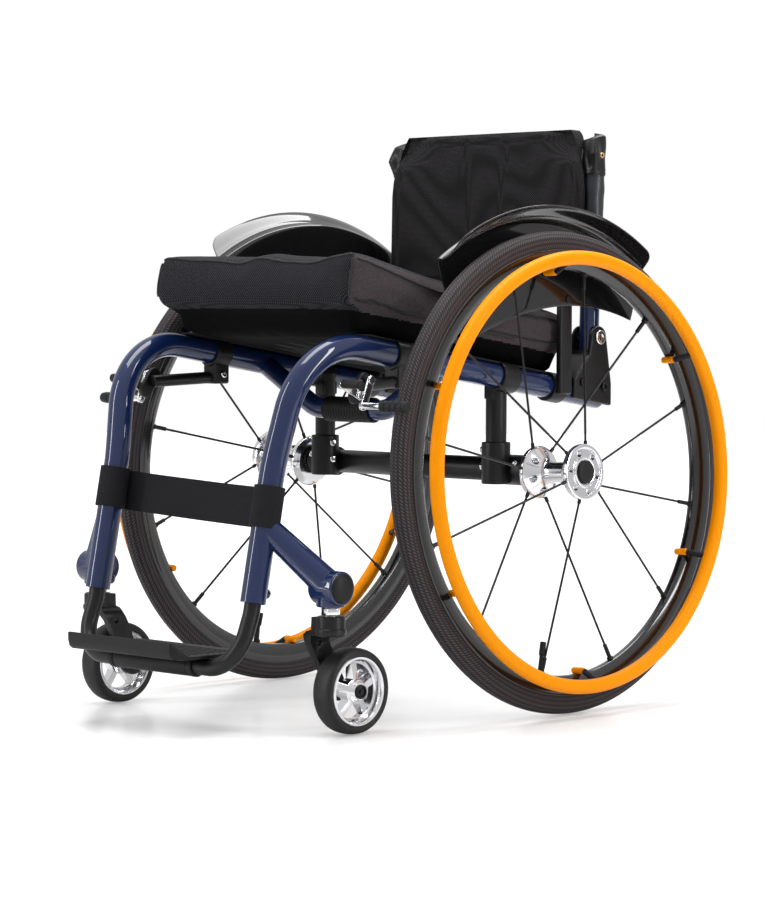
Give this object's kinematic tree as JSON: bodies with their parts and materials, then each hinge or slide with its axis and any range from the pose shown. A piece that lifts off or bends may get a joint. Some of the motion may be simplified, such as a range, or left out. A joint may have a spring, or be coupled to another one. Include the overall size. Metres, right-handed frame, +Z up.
{
  "type": "wheelchair",
  "caption": "Rigid-frame wheelchair with cambered push-rim wheels, swivel casters, side guards, scissor brakes, sliding footrest and fold-down back",
  "frame": {"origin": "middle of the chair's footprint on the floor, under the centre of its bounding box", "axes": "+Z up, -Y the way the chair faces, +X the sitter's left"},
  "size_m": [0.601, 0.8, 0.7227],
  "materials": {
    "navy_paint": "gloss",
    "black_satin": "satin",
    "black_bolt": "satin",
    "black_plastic": "satin",
    "orange_coat": "satin",
    "polished_alloy": "polished",
    "steel": "satin",
    "chrome": "polished",
    "tyre_rubber": "matte",
    "carbon_gloss": "gloss",
    "black_fabric": "matte",
    "black_webbing": "matte"
  },
  "bodies": {
    "frame": {"frame_side_L": "navy_paint", "frame_side_R": "navy_paint", "caster_arm_L": "navy_paint", "caster_arm_R": "navy_paint", "cross_tube": "navy_paint", "axle_post_L": "black_satin", "axle_post_R": "black_satin", "axle_clamp_L": "black_satin", "axle_clamp_R": "black_satin", "camber_tube": "black_satin", "guard_receiver_L": "black_satin", "guard_receiver_R": "black_satin", "brake_mount_L": "black_satin", "brake_mount_R": "black_satin", "back_bracket_L": "black_satin", "back_bracket_R": "black_satin", "cross_tube_sleeve": "black_plastic", "caster_arm_cap_L": "black_plastic", "caster_arm_cap_R": "black_plastic", "axle_pin_L": "steel", "axle_pin_R": "steel", "back_pivot_pin_L": "chrome", "back_pivot_pin_R": "chrome", "side_guard_L": "carbon_gloss", "side_guard_R": "carbon_gloss", "seat_sling": "black_fabric", "seat_cushion": "black_fabric", "calf_strap": "black_webbing"},
    "footrest": {"footrest_tube": "black_satin", "footplate": "black_plastic"},
    "backrest": {"back_cane_L": "navy_paint", "back_cane_R": "navy_paint", "cane_cover_L": "black_fabric", "cane_cover_R": "black_fabric", "back_upholstery": "black_fabric"},
    "rear_wheel_L": {"rear_tyre_L": "tyre_rubber", "rear_rim_L": "black_satin", "rear_hub_L": "polished_alloy", "handrim_L": "orange_coat"},
    "axle_button_L": {"axle_button_L": "black_plastic"},
    "caster_fork_L": {"caster_fork_L": "black_satin", "caster_stem_L": "chrome", "caster_bolt_L": "black_bolt"},
    "caster_wheel_L": {"caster_wheel_L": "polished_alloy", "caster_tyre_L": "tyre_rubber"},
    "brake_lever_L": {"brake_lever_L": "chrome"},
    "brake_shoe_L": {"brake_shoe_L": "black_plastic"},
    "rear_wheel_R": {"rear_tyre_R": "tyre_rubber", "rear_rim_R": "black_satin", "rear_hub_R": "polished_alloy", "handrim_R": "orange_coat"},
    "axle_button_R": {"axle_button_R": "black_plastic"},
    "caster_fork_R": {"caster_fork_R": "black_satin", "caster_stem_R": "chrome", "caster_bolt_R": "black_bolt"},
    "caster_wheel_R": {"caster_wheel_R": "polished_alloy", "caster_tyre_R": "tyre_rubber"},
    "brake_lever_R": {"brake_lever_R": "chrome"},
    "brake_shoe_R": {"brake_shoe_R": "black_plastic"}
  },
  "joints": [
    {"name": "rear_wheel_spin_L", "type": "hinge", "parent": "frame", "child": "rear_wheel_L", "pos_m": [0.243, 0.105, 0.29472], "axis": [0.999, 0, 0.0436], "continuous": true},
    {"name": "axle_button_push_L", "type": "slide", "parent": "frame", "child": "axle_button_L", "axis": [-0.999, 0, -0.0436], "range_m": [0, 0.0045], "stiffness_N_per_m": 600},
    {"name": "caster_swivel_L", "type": "hinge", "parent": "frame", "child": "caster_fork_L", "pos_m": [0.208, -0.256, 0.139], "axis": [0, 0, 1], "continuous": true},
    {"name": "caster_wheel_spin_L", "type": "hinge", "parent": "caster_fork_L", "child": "caster_wheel_L", "pos_m": [0.208, -0.2227, 0.0505], "axis": [1, 0, 0], "continuous": true},
    {"name": "brake_lever_turn_L", "type": "hinge", "parent": "frame", "child": "brake_lever_L", "pos_m": [0.1898, -0.19495, 0.39218], "axis": [-1, 0, 0], "range_deg": [0, 55]},
    {"name": "brake_shoe_turn_L", "type": "hinge", "parent": "frame", "child": "brake_shoe_L", "pos_m": [0.1961, -0.18295, 0.41018], "axis": [1, 0, 0], "range_deg": [0, 16.5]},
    {"name": "rear_wheel_spin_R", "type": "hinge", "parent": "frame", "child": "rear_wheel_R", "pos_m": [-0.243, 0.105, 0.29472], "axis": [-0.999, 0, 0.0436], "continuous": true},
    {"name": "axle_button_push_R", "type": "slide", "parent": "frame", "child": "axle_button_R", "axis": [0.999, 0, -0.0436], "range_m": [0, 0.0045], "stiffness_N_per_m": 600},
    {"name": "caster_swivel_R", "type": "hinge", "parent": "frame", "child": "caster_fork_R", "pos_m": [-0.208, -0.256, 0.139], "axis": [0, 0, 1], "continuous": true},
    {"name": "caster_wheel_spin_R", "type": "hinge", "parent": "caster_fork_R", "child": "caster_wheel_R", "pos_m": [-0.208, -0.2227, 0.0505], "axis": [1, 0, 0], "continuous": true},
    {"name": "brake_lever_turn_R", "type": "hinge", "parent": "frame", "child": "brake_lever_R", "pos_m": [-0.1898, -0.19495, 0.39218], "axis": [-1, 0, 0], "range_deg": [0, 55]},
    {"name": "brake_shoe_turn_R", "type": "hinge", "parent": "frame", "child": "brake_shoe_R", "pos_m": [-0.1961, -0.18295, 0.41018], "axis": [1, 0, 0], "range_deg": [0, 16.5]},
    {"name": "back_fold", "type": "hinge", "parent": "frame", "child": "backrest", "pos_m": [0, 0.2406, 0.459], "axis": [1, 0, 0], "range_deg": [0, 40]},
    {"name": "footrest_slide", "type": "slide", "parent": "frame", "child": "footrest", "axis": [0, -0.1937, -0.9811], "range_m": [0, 0.035]}
  ],
  "couplings": [
    {"joint": "brake_shoe_turn_L", "follows": "brake_lever_turn_L", "ratio": 0.3},
    {"joint": "brake_shoe_turn_R", "follows": "brake_lever_turn_R", "ratio": 0.3}
  ]
}
